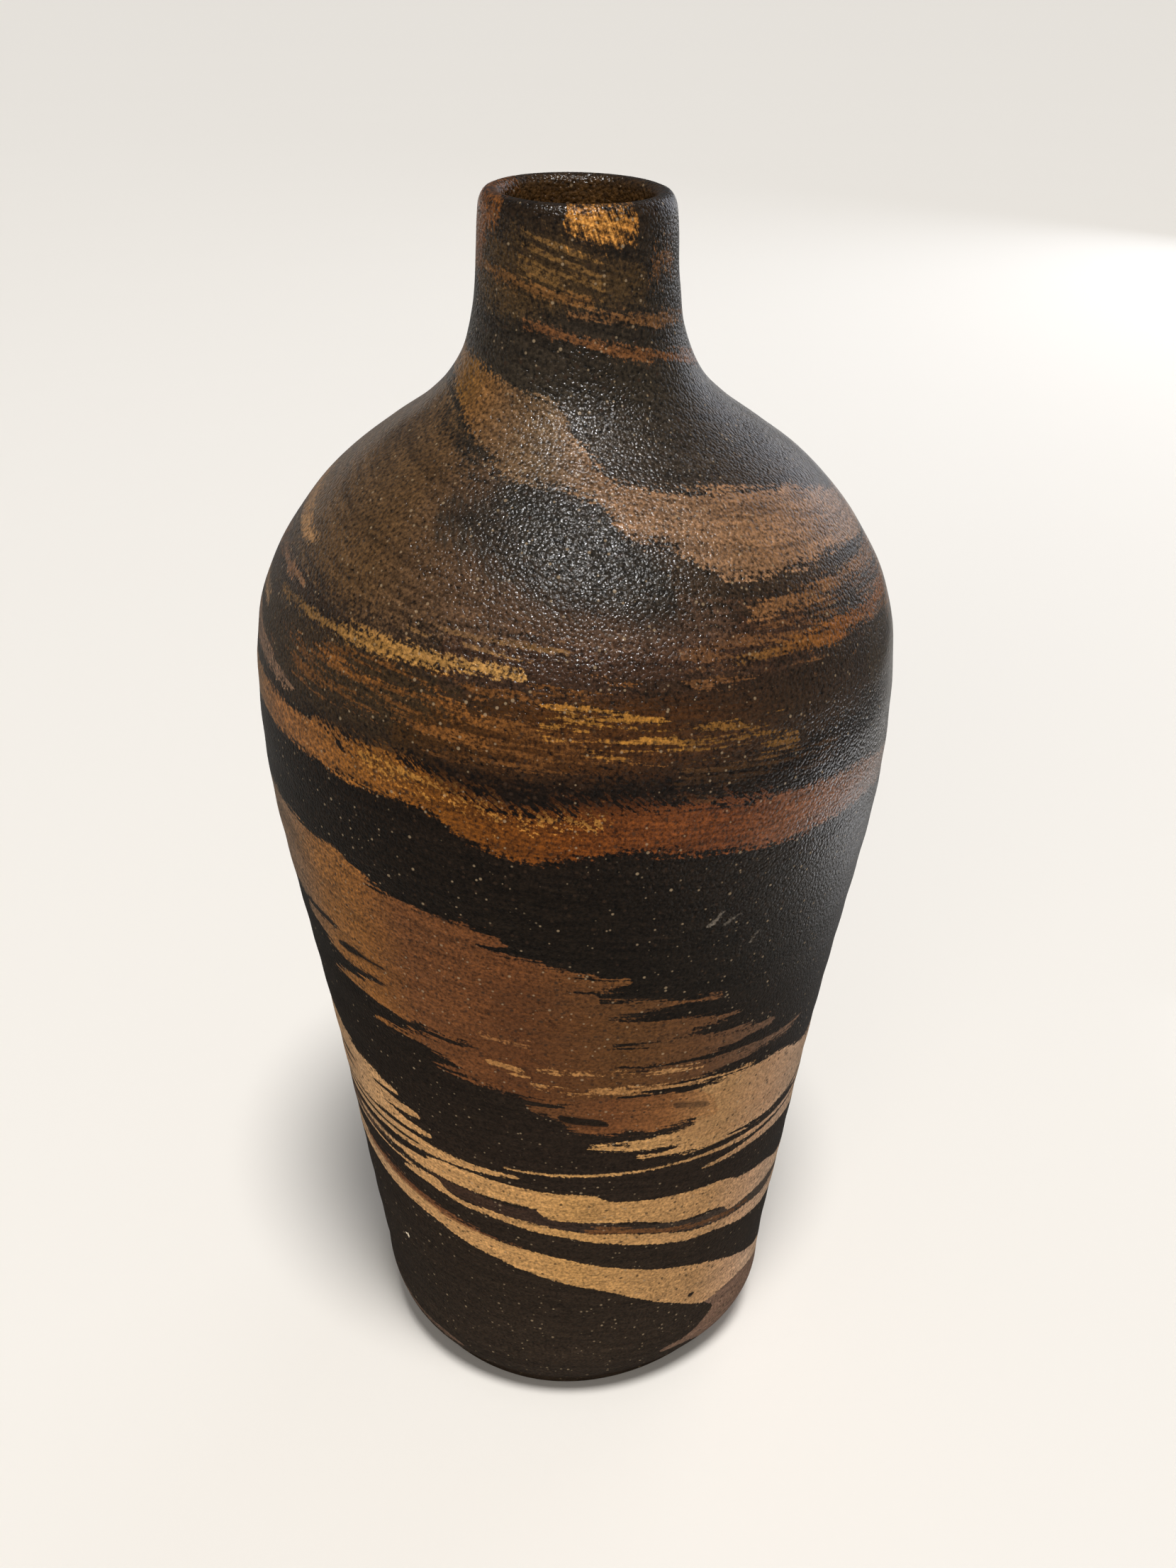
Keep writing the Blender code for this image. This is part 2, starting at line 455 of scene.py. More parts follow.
def edge(streak_mm, fleck_mm, grog_mm, fade_mm, thin_mm=0.0, deepest_mm=100.0):
    """The push on a border, as a socket, then the fade and the greatest depth, as shares of the height."""
    push = -(NOISE_SWING * (streak_mm + fleck_mm + grog_mm) / 2 + thin_mm) / TALL_MM
    for noise, push_mm in ((streak, streak_mm), (fleck, fleck_mm), (grog, grog_mm)):
        if push_mm:
            feeds = {0: noise.outputs[0], 1: NOISE_SWING * push_mm / TALL_MM, 2: push}
            push = put(tree, "ShaderNodeMath", feeds, operation="MULTIPLY_ADD")
    return push, fade_mm / TALL_MM, deepest_mm / TALL_MM


CRISP = edge(0.12, 0, 0.14, 0.10)
TORN = edge(0.9, 0.25, 0.25, 0.20)
FINE = edge(0.28, 0, 0.16, 0.16)
BROKEN = edge(0.7, 0.2, 0.25, 0.22, thin_mm=0.15)
SOFT = edge(0.55, 0.4, 0.5, 0.35)
FEATHERED = edge(0.3, 2.4, 0.6, 0.30, thin_mm=0.4)
MELTED = edge(1.0, 1.6, 1.0, 1.5)
FLECKED = edge(0.4, 2.8, 2.0, 0.45, thin_mm=1.5)
STREAKED = edge(2.8, 0.9, 0.9, 0.45, thin_mm=1.3, deepest_mm=1.2)
print("nine kinds of edge:", len(tree.nodes), "nodes")

# %% [markdown]
# ## One band
# A band of clay is a list of places round the bottle, each with its angle in degrees and the heights
# of its lower and upper borders in millimetres. Two Float Curves carry the borders round, a Color
# Ramp carries the clay's colour, which shifts along the band, and where the wall is between the
# borders the band covers what lies under it. Past its ends a band closes, with its borders crossed.

# %% Lay a band
TAPER_DEG = 4.0
CROSSED_MM = 6.0


def close_ends(places):
    """The places with crossed borders added past a tip, unless the band runs on round the back."""
    places = list(places)
    for end, way in ((0, -1), (-1, 1)):
        degrees, low, high = places[end]
        if abs(degrees) < 180:
            middle = (low + high) / 2
            shut = (middle + CROSSED_MM, middle - CROSSED_MM)
            beyond = [(degrees + way * TAPER_DEG, *shut), (180 * way, *shut)]
            places = places + beyond if way > 0 else beyond[::-1] + places
    return places


def border(places, which):
    """A Float Curve that gives one border's height, as a share, at the turn it is fed."""
    curve = put(tree, "ShaderNodeFloatCurve", {"Value": turn})
    line = curve.mapping.curves[0]
    spots = [(place[0] / 360 + 0.5, min(max(place[which] / TALL_MM, 0.0), 1.0)) for place in places]
    line.points[0].location, line.points[-1].location = spots[0], spots[-1]
    for x, y in spots[1:-1]:
        line.points.new(x, y)
    for point in line.points:
        point.handle_type = "AUTO_CLAMPED"
    curve.mapping.update()
    return curve


def cover(under, mask, colour):
    """Lays a colour, or a socket of one, over what is under it."""
    mix = put(tree, "ShaderNodeMix", {"Factor": mask}, data_type="RGBA")
    tree.links.new(under, mix.inputs["A"])
    if isinstance(colour, str):
        mix.inputs["B"].default_value = linear(colour)
    else:
        tree.links.new(colour, mix.inputs["B"])
    return mix.outputs["Result"]


def clay_along(colours):
    """The clay's colour along a band: one hex, or (degrees, hex) stops that a Color Ramp blends."""
    if isinstance(colours, str):
        return colours
    ramp = put(tree, "ShaderNodeValToRGB", {0: turn})
    stops = ramp.color_ramp.elements
    for _ in colours[2:]:
        stops.new(0.5)
    for stop, (degrees, colour) in zip(stops, colours):
        stop.position = degrees / 360 + 0.5
        stop.color = linear(colour)
    return ramp.outputs[0]


def lay(under, kind, colours, *places, strength=1.0):
    """Lays one band over what is under it, and gives the colour that results."""
    push, fade, deepest = kind
    places = close_ends(places)
    above = put(tree, "ShaderNodeMath", {0: level, 1: border(places, 1)}, operation="SUBTRACT")
    below = put(tree, "ShaderNodeMath", {0: border(places, 2), 1: level}, operation="SUBTRACT")
    depth = put(tree, "ShaderNodeMath", {0: above, 1: below}, operation="MINIMUM")
    depth = put(tree, "ShaderNodeMath", {0: depth, 1: deepest}, operation="MINIMUM")
    torn = put(tree, "ShaderNodeMath", {0: depth, 1: push}, operation="ADD")
    mask = put(tree, "ShaderNodeMapRange", {"Value": torn, "From Min": -fade, "From Max": fade,
                                            "To Max": strength}, interpolation_type="SMOOTHSTEP")
    return cover(under, mask, clay_along(colours))


def tell(what):
    """Prints how far the finish has grown once something is laid."""
    print(what, "laid,", len(tree.nodes), "nodes so far")


# %% [markdown]
# ## The dark body
# Most of the wall is a dark clay, coloured with iron and manganese: warm near-black where it is bare
# and a shade browner and more olive where the thin glaze lies over it.

# %% Dark clay
body = put(tree, "ShaderNodeValToRGB", {0: level})
BODY_CLAY = ((0.0, "32281F"), (0.15, "2C2219"), (0.3, "281E16"), (0.50, "1A140E"), (0.67, "170E07"),
             (0.69, "271A10"), (0.78, "35291E"), (0.88, "2C261E"), (1.0, "241A10"))
for _ in BODY_CLAY[2:]:
    body.color_ramp.elements.new(0.5)
for stop, (height, colour) in zip(body.color_ramp.elements, BODY_CLAY):
    stop.position = height
    stop.color = linear(colour)
paint = body.outputs[0]
tell("dark body")

# %% [markdown]
# ## Foot and lower wall
# The crisp part: a mauve-brown clay at the foot, one broad ribbon of tan that drops steeply to the
# right, and above it a pair of tan ribbons with a rusty smear pulled out between them.

# %% Foot and the broad ribbon
MAUVE = "765B4A"
# The tan is lighter towards the left, where the lamps light it less: that lift is painted light.
TAN_AND_PAINTED_LIGHT = ((-75, "AC8E6E"), (-40, "BE925F"), (0, "B08650"), (35, "A98256"), (50, "B89270"), (60, "BA9A7E"),
       (90, "AC8E6E"))
RUST = "6E4426"

paint = lay(paint, CRISP, MAUVE, (27, 6.8, 7.4), (35, 6.2, 8.0), (40, 5.4, 9.3), (45, 4, 11.4),
            (50, 3, 14.6), (75, 2, 13), (100, 2, 12), (140, 4, 9), (165, 5, 7.5))
paint = lay(paint, CRISP, MAUVE, (41, 13.5, 14.4), (43, 12.6, 14.8), (46, 10.8, 14.8), (60, 9, 14),
            (75, 9, 12))
paint = lay(paint, CRISP, MAUVE, (-75, 6.2, 9.0), (-55, 6.0, 7.4), (-35, 5.4, 5.9), strength=0.6)
paint = lay(paint, CRISP, TAN_AND_PAINTED_LIGHT, (-150, 44.6, 45.6), (-120, 41, 44.6), (-90, 37.8, 41), (-70, 36, 38.8),
            (-60, 35, 38), (-50, 33.7, 36.6), (-40, 32.8, 35.6), (-35, 32.1, 35.0), (-30, 30.9, 34.3),
            (-20, 29.3, 33.1), (-10, 27.4, 32), (0, 25.5, 30.4), (10, 23.4, 28.7), (20, 20.3, 26.8),
            (30, 17.0, 24.9), (40, 14.0, 22.6), (43, 13.8, 21.8), (50, 14.1, 19.8), (60, 13.3, 16.9),
            (70, 11.5, 14.5), (80, 9.5, 12.5), (95, 7.5, 9))
paint = lay(paint, TORN, RUST, (-64, 37.8, 38.6), (-55, 36.8, 38.2), (-45, 35.7, 37.2), (-38, 35.1, 36.2),
            (-30, 34.0, 34.8), (-20, 32.9, 33.5), (-12, 32.1, 32.5), strength=0.85)
tell("broad ribbon")

# %% The pair of ribbons and the smear between them
paint = lay(paint, TORN, ((-38, "3F2B1E"), (-5, "36271F"), (20, "352B23"), (60, "4A3D33")),
            (-39, 40.3, 41), (-34, 39.4, 41.7), (-25, 38.7, 41.3), (-15, 37.9, 40.9), (-8, 37.3, 40.2),
            (0, 36.4, 38.4), (10, 35.3, 37.6), (20, 34, 36.5), (30, 32.3, 35), (40, 31, 33.8),
            (50, 30, 32), (60, 28.8, 31.2), (75, 27, 29.5), (95, 25, 26.5))
paint = lay(paint, TORN, "613F22", (3, 35.3, 36.4), (8, 35.7, 36.9), (15, 35.0, 36.0), (25, 33.3, 34.4),
            (35, 32.1, 32.9), (44, 31.2, 31.8), (52, 30.4, 30.8))
paint = lay(paint, CRISP, TAN_AND_PAINTED_LIGHT, (-45, 39.8, 40.2), (-41, 39.6, 40.9), (-38, 39.4, 41.3), (-34, 38.8, 41.2),
            (-32, 38.7, 40.0), (-30, 38.3, 39.3), (-20, 37.5, 38.5), (-10, 36.2, 37.6), (0, 35.1, 36.4),
            (5, 34.2, 35.8), (10, 33.6, 35.5), (20, 32.0, 34.2), (30, 30.4, 32.2), (40, 29.3, 30.9),
            (50, 27.5, 30), (60, 26, 28.6), (70, 24.8, 28), (90, 21, 24), (120, 15, 17.5), (150, 9, 10.5),
            (165, 7, 7.4))
paint = lay(paint, CRISP, TAN_AND_PAINTED_LIGHT, (-45, 42.9, 43.5), (-40, 42.3, 44.0), (-35, 42.0, 44.7),
            (-30, 41.8, 45.1), (-20, 41.3, 44.7), (-10, 40.7, 44.1), (-8.3, 40.4, 44.0),
            (-7, 39.2, 43.9), (0, 38.4, 43.6), (5, 38.2, 43.3), (7.5, 38.0, 42.3), (15, 37.3, 41.4),
            (25, 35.3, 40.7), (30, 34.9, 40.4), (37, 34.3, 39.8), (40.5, 33.6, 39.1), (43, 32.2, 38.3),
            (50, 31.8, 37), (57, 31.2, 36), (65, 30.5, 33.8), (75, 29, 32.5), (95, 26, 29),
            (120, 21, 24), (150, 14.5, 16.5), (172, 10.8, 11.2))
tell("pair of ribbons")

# %% [markdown]
# ## Thin lines of tan
# Where light and dark clay were wedged thin, the wheel draws them out to lines less than a
# millimetre wide. At the left they lie close together with slivers of dark between them.

# %% Thin lines
DARK = "221911"

paint = lay(paint, TORN, "5E4838", (-85, 41.6, 46), (-70, 41.8, 45.5), (-60, 42.2, 44.6),
            (-50, 42.6, 44.2), (-43, 43, 43.8), strength=0.8)
paint = lay(paint, CRISP, TAN_AND_PAINTED_LIGHT, (-64, 43.4, 44.0), (-55, 43.1, 43.8), (-48, 42.9, 43.6), (-42, 42.9, 43.8))
paint = lay(paint, CRISP, TAN_AND_PAINTED_LIGHT, (-70, 41.9, 42.3), (-58, 41.6, 42.0), (-50, 41.3, 41.6), (-40, 40.9, 41.2))
paint = lay(paint, CRISP, TAN_AND_PAINTED_LIGHT, (-110, 44.4, 50), (-80, 45, 49.4), (-70, 45.2, 49), (-60, 45.2, 48.6),
            (-50, 45.3, 48.0), (-40, 45.3, 47.8), (-30, 45.5, 47.2), (-20, 45.7, 46.6), (-12, 45.9, 46.2))
paint = lay(paint, CRISP, DARK, (-76, 46.6, 47.2), (-60, 46.4, 47.0), (-50, 46.2, 46.7),
            (-38, 46.1, 46.5))
paint = lay(paint, CRISP, DARK, (-78, 44.4, 45.1), (-60, 44.3, 44.9), (-50, 44.1, 44.7),
            (-36, 44.0, 44.5))
paint = lay(paint, CRISP, TAN_AND_PAINTED_LIGHT, (-16, 47.5, 47.7), (-5, 47.2, 47.6), (10, 47.1, 47.5), (20, 46.9, 47.3),
            (30, 46.5, 47.1), (40, 45.9, 46.7), (50, 45.5, 46.2), (60, 45.1, 45.9), (70, 44.8, 45.6),
            (100, 44, 45.4), (125, 44.5, 45))
paint = lay(paint, CRISP, TAN_AND_PAINTED_LIGHT, (31, 44.0, 44.2), (40, 43.7, 44.6), (50, 43.2, 44.8), (60, 42.3, 44.6),
            (70, 41, 44.2), (90, 39.5, 43.5), (130, 41, 44), (165, 43.5, 44.3))
tell("thin lines")

# %% [markdown]
# ## The tan mass
# On the right a broad mass of tan fans out of the brown above it and runs on round the back, to come
# out again at the left edge, where it ends in three blunt fingers.

# %% Tan mass at the right, round the back and out at the left
paint = lay(paint, TORN, TAN_AND_PAINTED_LIGHT, (3, 52.2, 52.5), (7, 52, 52.7), (12, 51.6, 52.8), (18, 50.9, 52.8),
            (24, 50.6, 53.2), (28, 50.3, 54), (32, 50, 55))
paint = lay(paint, TORN, TAN_AND_PAINTED_LIGHT, (14, 49.5, 49.8), (18, 49.1, 49.9), (23, 48.6, 50.2), (28, 48.3, 51),
            (32, 48.1, 52))
paint = lay(paint, TORN, TAN_AND_PAINTED_LIGHT, (16, 59.8, 60.4), (20, 58.2, 60.6), (24, 56.5, 60.4), (27, 54.0, 60.2),
            (29, 50.5, 60.2), (31, 48.2, 60.3), (40, 47.9, 60), (47, 47.9, 59.8), (52, 47.8, 58.8),
            (57, 47.6, 57), (62, 47.2, 55.6), (70, 46.6, 54.4), (90, 46, 55), (130, 45.5, 57),
            (180, 45, 58.5))
paint = lay(paint, TORN, TAN_AND_PAINTED_LIGHT, (-180, 45, 58.5), (-140, 46, 60), (-110, 47.3, 60.5), (-85, 47.8, 60.4),
            (-70, 48.4, 59.4), (-65, 48.4, 58), (-60, 48.5, 56.7), (-55, 48.5, 55.8), (-51, 48.6, 55.5),
            (-49, 50.4, 55.3))
paint = lay(paint, CRISP, TAN_AND_PAINTED_LIGHT, (-56, 53.2, 55.9), (-50, 53.5, 55.4), (-46, 53.6, 54.9), (-42, 53.7, 54.4))
paint = lay(paint, CRISP, TAN_AND_PAINTED_LIGHT, (-56, 50.8, 53.3), (-48, 50.9, 53.1), (-42, 51.1, 52.6), (-36, 51.3, 52.0))
paint = lay(paint, CRISP, TAN_AND_PAINTED_LIGHT, (-56, 48.5, 51), (-46, 48.6, 50.6), (-40, 48.6, 49.8), (-34, 48.6, 49.4))
paint = lay(paint, CRISP, DARK, (-51, 53.1, 53.5), (-46, 53.1, 53.6), (-41, 53.0, 53.7))
paint = lay(paint, CRISP, DARK, (-72, 47.9, 48.3), (-56, 47.9, 48.2), (-40, 47.9, 48.3),
            (-34, 47.7, 48.3))
tell("tan mass")

# %% Dark slivers through it
SLIVER = "74502F"

paint = lay(paint, STREAKED, SLIVER, (20, 56, 60), (30, 49, 60), (45, 48.4, 59.6), (60, 47.6, 56),
            (90, 46, 55), (130, 46, 57), (180, 46, 58), strength=0.35)
paint = lay(paint, STREAKED, SLIVER, (-180, 46, 58), (-140, 46, 60), (-85, 48, 60), (-60, 49, 56),
            strength=0.35)
for low, high, start, stop in ((52.6, 53.2, -85, -60), (50.6, 51.1, -80, -62), (49.2, 49.5, 110, 175),
                               (52.4, 53.0, 120, 178), (55.0, 55.6, 90, 150), (50.8, 51.2, 70, 120),
                               (48.6, 49.0, -170, -120), (53.6, 54.4, -165, -105), (57.0, 57.4, -150, -95),
                               (47.6, 48.0, 22, 40), (47.2, 47.6, 52, 85)):
    middle = (start + stop) / 2
    paint = lay(paint, FINE, DARK, (start, low + 0.4, high - 0.1), (middle, low, high),
                (stop, low - 0.3, low))
tell("dark slivers")

# %% [markdown]
# ## The brown mass
# Above the tan lies the largest patch of the front: chocolate brown, going over to ochre and then to
# mauve at the left, where painted sheen makes it greyer and lighter. Its ends are pulled into fingers
# on both sides, and lines of tan run through it.

# %% Brown mass, from the left edge to its torn right end
# Towards the left edge and round the back the brown is greyer and lighter: partly mauve clay, partly
# painted sheen.
BROWN_AND_PAINTED_SHEEN = ((-80, "7A6450"), (-62, "7C6046"), (-51, "865A2C"), (-42, "825424"), (-31, "6A4121"),
         (-10, "61391B"), (10, "63401F"), (25, "634125"), (45, "705440"), (130, "7A6450"))

paint = lay(paint, TORN, BROWN_AND_PAINTED_SHEEN, (-180, 87, 93), (-140, 84, 93.4), (-110, 81.5, 93.4), (-85, 80.4, 93.3),
            (-70, 79.8, 93.2), (-60, 79.5, 93), (-53, 79.2, 92.5), (-46, 78.8, 92.6), (-42, 77.5, 91.6),
            (-38, 74, 90.2), (-34, 71, 89.2), (-30, 69.6, 88.8), (-25, 69, 88.4), (-21, 68.8, 87.4),
            (-17, 65, 85.8), (-14, 62.2, 84.8), (-10, 61.3, 83.7), (-5, 60.6, 82.8), (0, 60.2, 79.0),
            (4, 60.2, 78.4), (8, 60.2, 66))
paint = lay(paint, TORN, BROWN_AND_PAINTED_SHEEN, (-27, 84, 88.5), (-20, 84.6, 88.3), (-16, 85.1, 87.6), (-12, 85.4, 86.4))
paint = lay(paint, TORN, BROWN_AND_PAINTED_SHEEN, (-8, 79.4, 83), (0, 79.3, 82.1), (5, 79.5, 81.3), (10, 79.9, 80.4))
paint = lay(paint, TORN, BROWN_AND_PAINTED_SHEEN, (-2, 75.0, 78.6), (5, 75.0, 77.6), (10, 75.4, 77.1), (15, 75.6, 76.6),
            (20, 75.6, 76.2), (28, 75.1, 75.4))
paint = lay(paint, TORN, BROWN_AND_PAINTED_SHEEN, (-2, 70.5, 75.2), (10, 70.5, 74.6), (15, 70.3, 74.2), (20, 70.4, 73.9),
            (25, 70.8, 72.8), (30, 71, 71.9), (33, 71.2, 71.5))
paint = lay(paint, TORN, BROWN_AND_PAINTED_SHEEN, (-2, 66.5, 70.4), (10, 66, 70.1), (20, 65.8, 69.9), (30, 65.8, 68.9),
            (36, 66, 68.3), (40, 66.2, 67.8), (44, 66.5, 67.0))
paint = lay(paint, TORN, BROWN_AND_PAINTED_SHEEN, (-2, 61.2, 66.7), (10, 61.3, 66.2), (20, 61.5, 65.6), (28, 62, 64.7),
            (34, 62.3, 64.2), (42, 62.4, 63.6), (50, 62.4, 63.2), (57, 62.6, 62.9))
paint = lay(paint, TORN, ((-6, "5C3A1E"), (8, "683F20"), (20, "7A4F2A"), (30, "9A7045")),
            (-9, 59.3, 59.7), (-4, 58.0, 59.6), (0, 55.8, 61), (5, 55.2, 61), (15, 54.8, 61),
            (25, 54.3, 60.2), (29, 54, 58.5), (32, 53.6, 56))
tell("brown mass")

# %% Its fingers at the left
paint = lay(paint, TORN, BROWN_AND_PAINTED_SHEEN, (-63, 77.4, 78.0), (-58, 76.2, 78.4), (-54, 75.2, 78.8),
            (-50, 74.6, 79.2), (-45, 74.2, 80), (-40, 74, 80), (-34, 73, 80))
paint = lay(paint, TORN, BROWN_AND_PAINTED_SHEEN, (-56, 70.8, 71.2), (-50, 70.6, 71.8), (-46, 70.4, 72.6),
            (-42, 70.1, 73.4), (-38, 69.9, 74.5), (-33, 69.6, 75))
paint = lay(paint, TORN, BROWN_AND_PAINTED_SHEEN, (-43, 66.8, 67.2), (-36, 66.6, 67.4), (-33, 66.3, 67.8),
            (-28, 65.6, 68.1), (-22, 65, 68.4), (-16, 65, 69))
paint = lay(paint, TORN, BROWN_AND_PAINTED_SHEEN, (-29, 63.4, 63.8), (-25, 62.9, 64.3), (-20, 62.4, 64.9), (-15, 62, 65.6),
            (-10, 61.5, 66))
paint = lay(paint, FINE, DARK, (-51, 76.3, 76.7), (-46, 76.0, 77.3), (-42, 76.2, 77.0), (-37, 76.3, 76.7))
paint = lay(paint, FINE, DARK, (-62, 79.0, 79.6), (-56, 78.8, 79.6), (-50, 78.5, 78.9))
paint = lay(paint, FINE, DARK, (-47, 73.4, 73.9), (-42, 73.5, 74.0), (-38, 73.7, 74.0))
paint = lay(paint, FINE, DARK, (-3, 57.6, 58.5), (2, 56.6, 58.0), (7, 56.3, 56.9))
paint = lay(paint, FINE, DARK, (21, 58.0, 58.6), (25, 57.0, 57.9), (30, 56.0, 56.5), strength=0.6)

paint = lay(paint, STREAKED, DARK, (-14, 60, 80), (0, 60.6, 81), (14, 60.6, 77), (28, 60.6, 73),
            (46, 61, 68), strength=0.32)
tell("fingers")

# %% Lines of tan through the brown
LINE_TAN = ((-15, "94693A"), (10, "9A6F40"), (30, "A67E52"))
paint = lay(paint, BROKEN, LINE_TAN, (-17, 66.4, 66.9), (-14, 65.7, 66.6), (-9, 64.9, 65.5))
paint = lay(paint, BROKEN, LINE_TAN, (-7, 66.3, 66.8), (0, 65.7, 66.4), (8, 65.2, 65.9), (15, 64.7, 65.4),
            (22, 63.9, 64.5), (27, 63.4, 63.8))
paint = lay(paint, BROKEN, LINE_TAN, (-8, 63.3, 63.7), (-4, 62.7, 63.4), (0, 62.1, 62.8), (5, 61.8, 62.2))
paint = lay(paint, BROKEN, LINE_TAN, (3, 62.7, 63.1), (10, 61.7, 62.8), (20, 61.2, 62.4),
            (28, 60.8, 61.9), (34, 60.3, 61.2), (42, 59.8, 60.3))
paint = lay(paint, BROKEN, "80562F", (-18, 70.8, 71.3), (-14, 70.4, 70.8), (-8, 70, 70.3))
tell("lines of tan")

# %% [markdown]
# ## The orange band
# At the widest part a band of orange-ochre clay goes all the way round. Its upper border is feathered
# under the glaze, and it turns redder towards the right, where it becomes the brown mass behind.

# %% Orange band
OCHRE = ((-130, "7A6450"), (-85, "8A6C48"), (-60, "87592F"), (-38, "7C4E1C"), (-22, "673C0D"),
         (0, "5E3109"), (25, "623518"), (45, "6A4630"), (75, "6A5446"), (130, "7A6450"))

paint = lay(paint, SOFT, OCHRE, (-180, 108.5, 112.5), (-130, 106.5, 110.5), (-90, 104.8, 109),
            (-75, 104.1, 108.4), (-60, 103.8, 108.1), (-50, 103.5, 107.9), (-46, 103.3, 108.2),
            (-42, 103.2, 106.8), (-36, 103, 106.4), (-33, 103, 107), (-30, 103, 108),
            (-27, 102.9, 106.8), (-23, 102.3, 106.7), (-20, 101, 105.6), (-17, 99.8, 104.9),
            (-12, 98.6, 103.8), (-8, 98.2, 103.4), (-3, 98.2, 103.3), (3, 98.9, 104.2), (10, 99.1, 104),
            (16, 98.2, 103.9), (22, 97.6, 103.7), (30, 96.8, 102.9), (40, 96.3, 102.2), (50, 96, 101.4),
            (58, 95.4, 100.4), (70, 94.2, 98.4), (100, 92, 96.5), (140, 89.5, 94.5), (180, 87, 93))
paint = lay(paint, SOFT, OCHRE, (62, 117.2, 118.6), (80, 115.5, 118), (110, 113.5, 117),
            (150, 110.5, 114.5), (180, 108.5, 112.5))

paint = lay(paint, FEATHERED, OCHRE, (-48, 106.5, 109), (-33, 105.5, 109), (-25, 104.8, 108.2),
            (-17, 103.5, 106.5), (-8, 102.8, 104.8), (2, 103.2, 105.8), (15, 103, 104.8),
            (32, 102, 103.6))
paint = lay(paint, FLECKED, "94682C", (-36, 105.6, 108.2), (-26, 104.8, 107.4), (-17, 103, 105.6),
            (-8, 101.8, 104), (4, 101.8, 104), strength=0.8)
tell("orange band")

# %% [markdown]
# ## Small marks
# A pot that has been fired and used has a few marks of its own. A grain of pale feldspar has come out
# near the foot and left a pit, there is a dark one in the broad ribbon, and something hard has left
# fine scratches on the dark clay at the right. They are bands too, only a few degrees long.

# %% Pits and scratches
FELDSPAR = "D8CBB4"
SCRATCH = "6E665C"

paint = lay(paint, CRISP, FELDSPAR, (-51.7, 23.3, 24.0), (-50.8, 23.2, 24.1))
paint = lay(paint, FINE, SCRATCH, (22.5, 86.9, 87.1), (24.5, 87.9, 88.3), (26, 88.8, 89.1), strength=0.7)
paint = lay(paint, FINE, SCRATCH, (25.5, 86.6, 86.8), (28, 87.4, 87.7), (30, 88.0, 88.1), strength=0.5)
paint = lay(paint, FINE, SCRATCH, (32, 82.6, 82.8), (33.5, 83.6, 84.0), (34.5, 84.6, 84.8), strength=0.5)
paint = lay(paint, FINE, DARK, (33.8, 17.0, 17.8), (35.2, 16.9, 17.9))
tell("small marks")

# %% [markdown]
# ## Under the glaze
# From the widest part up, a thin ash glaze lies over the clay. It has melted the borders and run a
# little, so the tan grog burns through it as short strokes of gold that fall to the right.

# %% Brown under the glaze
GLAZED_BROWN = "382A19"

paint = lay(paint, MELTED, GLAZED_BROWN, (-100, 110, 119), (-70, 110, 118.5), (-45, 109.5, 118),
            (-20, 109.5, 118), (-8, 112, 116))
paint = lay(paint, MELTED, ((-28, "40290F"), (-8, "4C2D0E"), (12, "46290F"), (38, "35261A")),
            (-30, 109.5, 112), (-20, 108.6, 115), (-10, 108.2, 116.5), (0, 108, 117.5), (12, 108, 117),
            (25, 108, 116), (45, 108, 114), (60, 109, 112))
paint = lay(paint, MELTED, "3D2A1E", (-22, 116.5, 123), (0, 116.5, 123), (20, 116.5, 123), (45, 117, 121))
tell("brown under the glaze")

# %% The same brown and strokes round the back
AMBER = "7A5226"

paint = lay(paint, MELTED, GLAZED_BROWN, (60, 109, 115), (110, 111, 118), (180, 110, 119))
paint = lay(paint, MELTED, GLAZED_BROWN, (-180, 110, 119), (-130, 111, 119), (-85, 110, 118))
paint = lay(paint, STREAKED, AMBER, (75, 113, 117), (120, 114, 122), (180, 113, 122), strength=0.45)
paint = lay(paint, STREAKED, AMBER, (-180, 113, 122), (-130, 112, 120), (-80, 111, 118), strength=0.45)
paint = lay(paint, TORN, BROWN_AND_PAINTED_SHEEN, (100, 74, 75), (130, 71, 76), (160, 69, 75.5), (180, 68.5, 75))
paint = lay(paint, TORN, BROWN_AND_PAINTED_SHEEN, (-180, 68.5, 75), (-150, 68, 74), (-120, 69, 73), (-95, 71, 72))
paint = lay(paint, STREAKED, DARK, (105, 70, 75), (180, 69, 75), strength=0.8)
paint = lay(paint, STREAKED, DARK, (-180, 69, 75), (-100, 70, 73), strength=0.8)
paint = lay(paint, CRISP, TAN_AND_PAINTED_LIGHT, (90, 32.5, 33.5), (130, 30, 31.4), (180, 27.6, 28.8))
paint = lay(paint, CRISP, TAN_AND_PAINTED_LIGHT, (-180, 27.6, 28.8), (-150, 27, 27.8), (-120, 27, 27.2))
tell("back")

# %% Gold and dark strokes
GOLD = "764A1E"
PALE_GOLD = "8A6026"
UNBURNT = "20160D"
paint = lay(paint, STREAKED, UNBURNT, (-90, 109, 119), (-50, 108.6, 118), (-20, 108, 119), (10, 107, 119),
            (40, 106, 117), (75, 104, 114), strength=0.7)
paint = lay(paint, STREAKED, GOLD, (-66, 112.6, 115.4), (-40, 111.8, 116.4), (-22, 111, 116),
            (-14, 110, 114), strength=0.4)
paint = lay(paint, STREAKED, GOLD, (-48, 115.6, 118), (-36, 115.6, 118.6), (-10, 115.6, 118),
            (10, 115.6, 117.6), strength=0.4)
paint = lay(paint, STREAKED, GOLD, (-24, 108.8, 113.4), (-10, 108.6, 114.6), (4, 109, 114),
            (14, 109, 112), strength=0.42)
paint = lay(paint, STREAKED, PALE_GOLD, (-5, 112.6, 115.4), (2, 112.4, 116), (8, 112, 115.2),
            (14, 111.4, 114), strength=0.7)
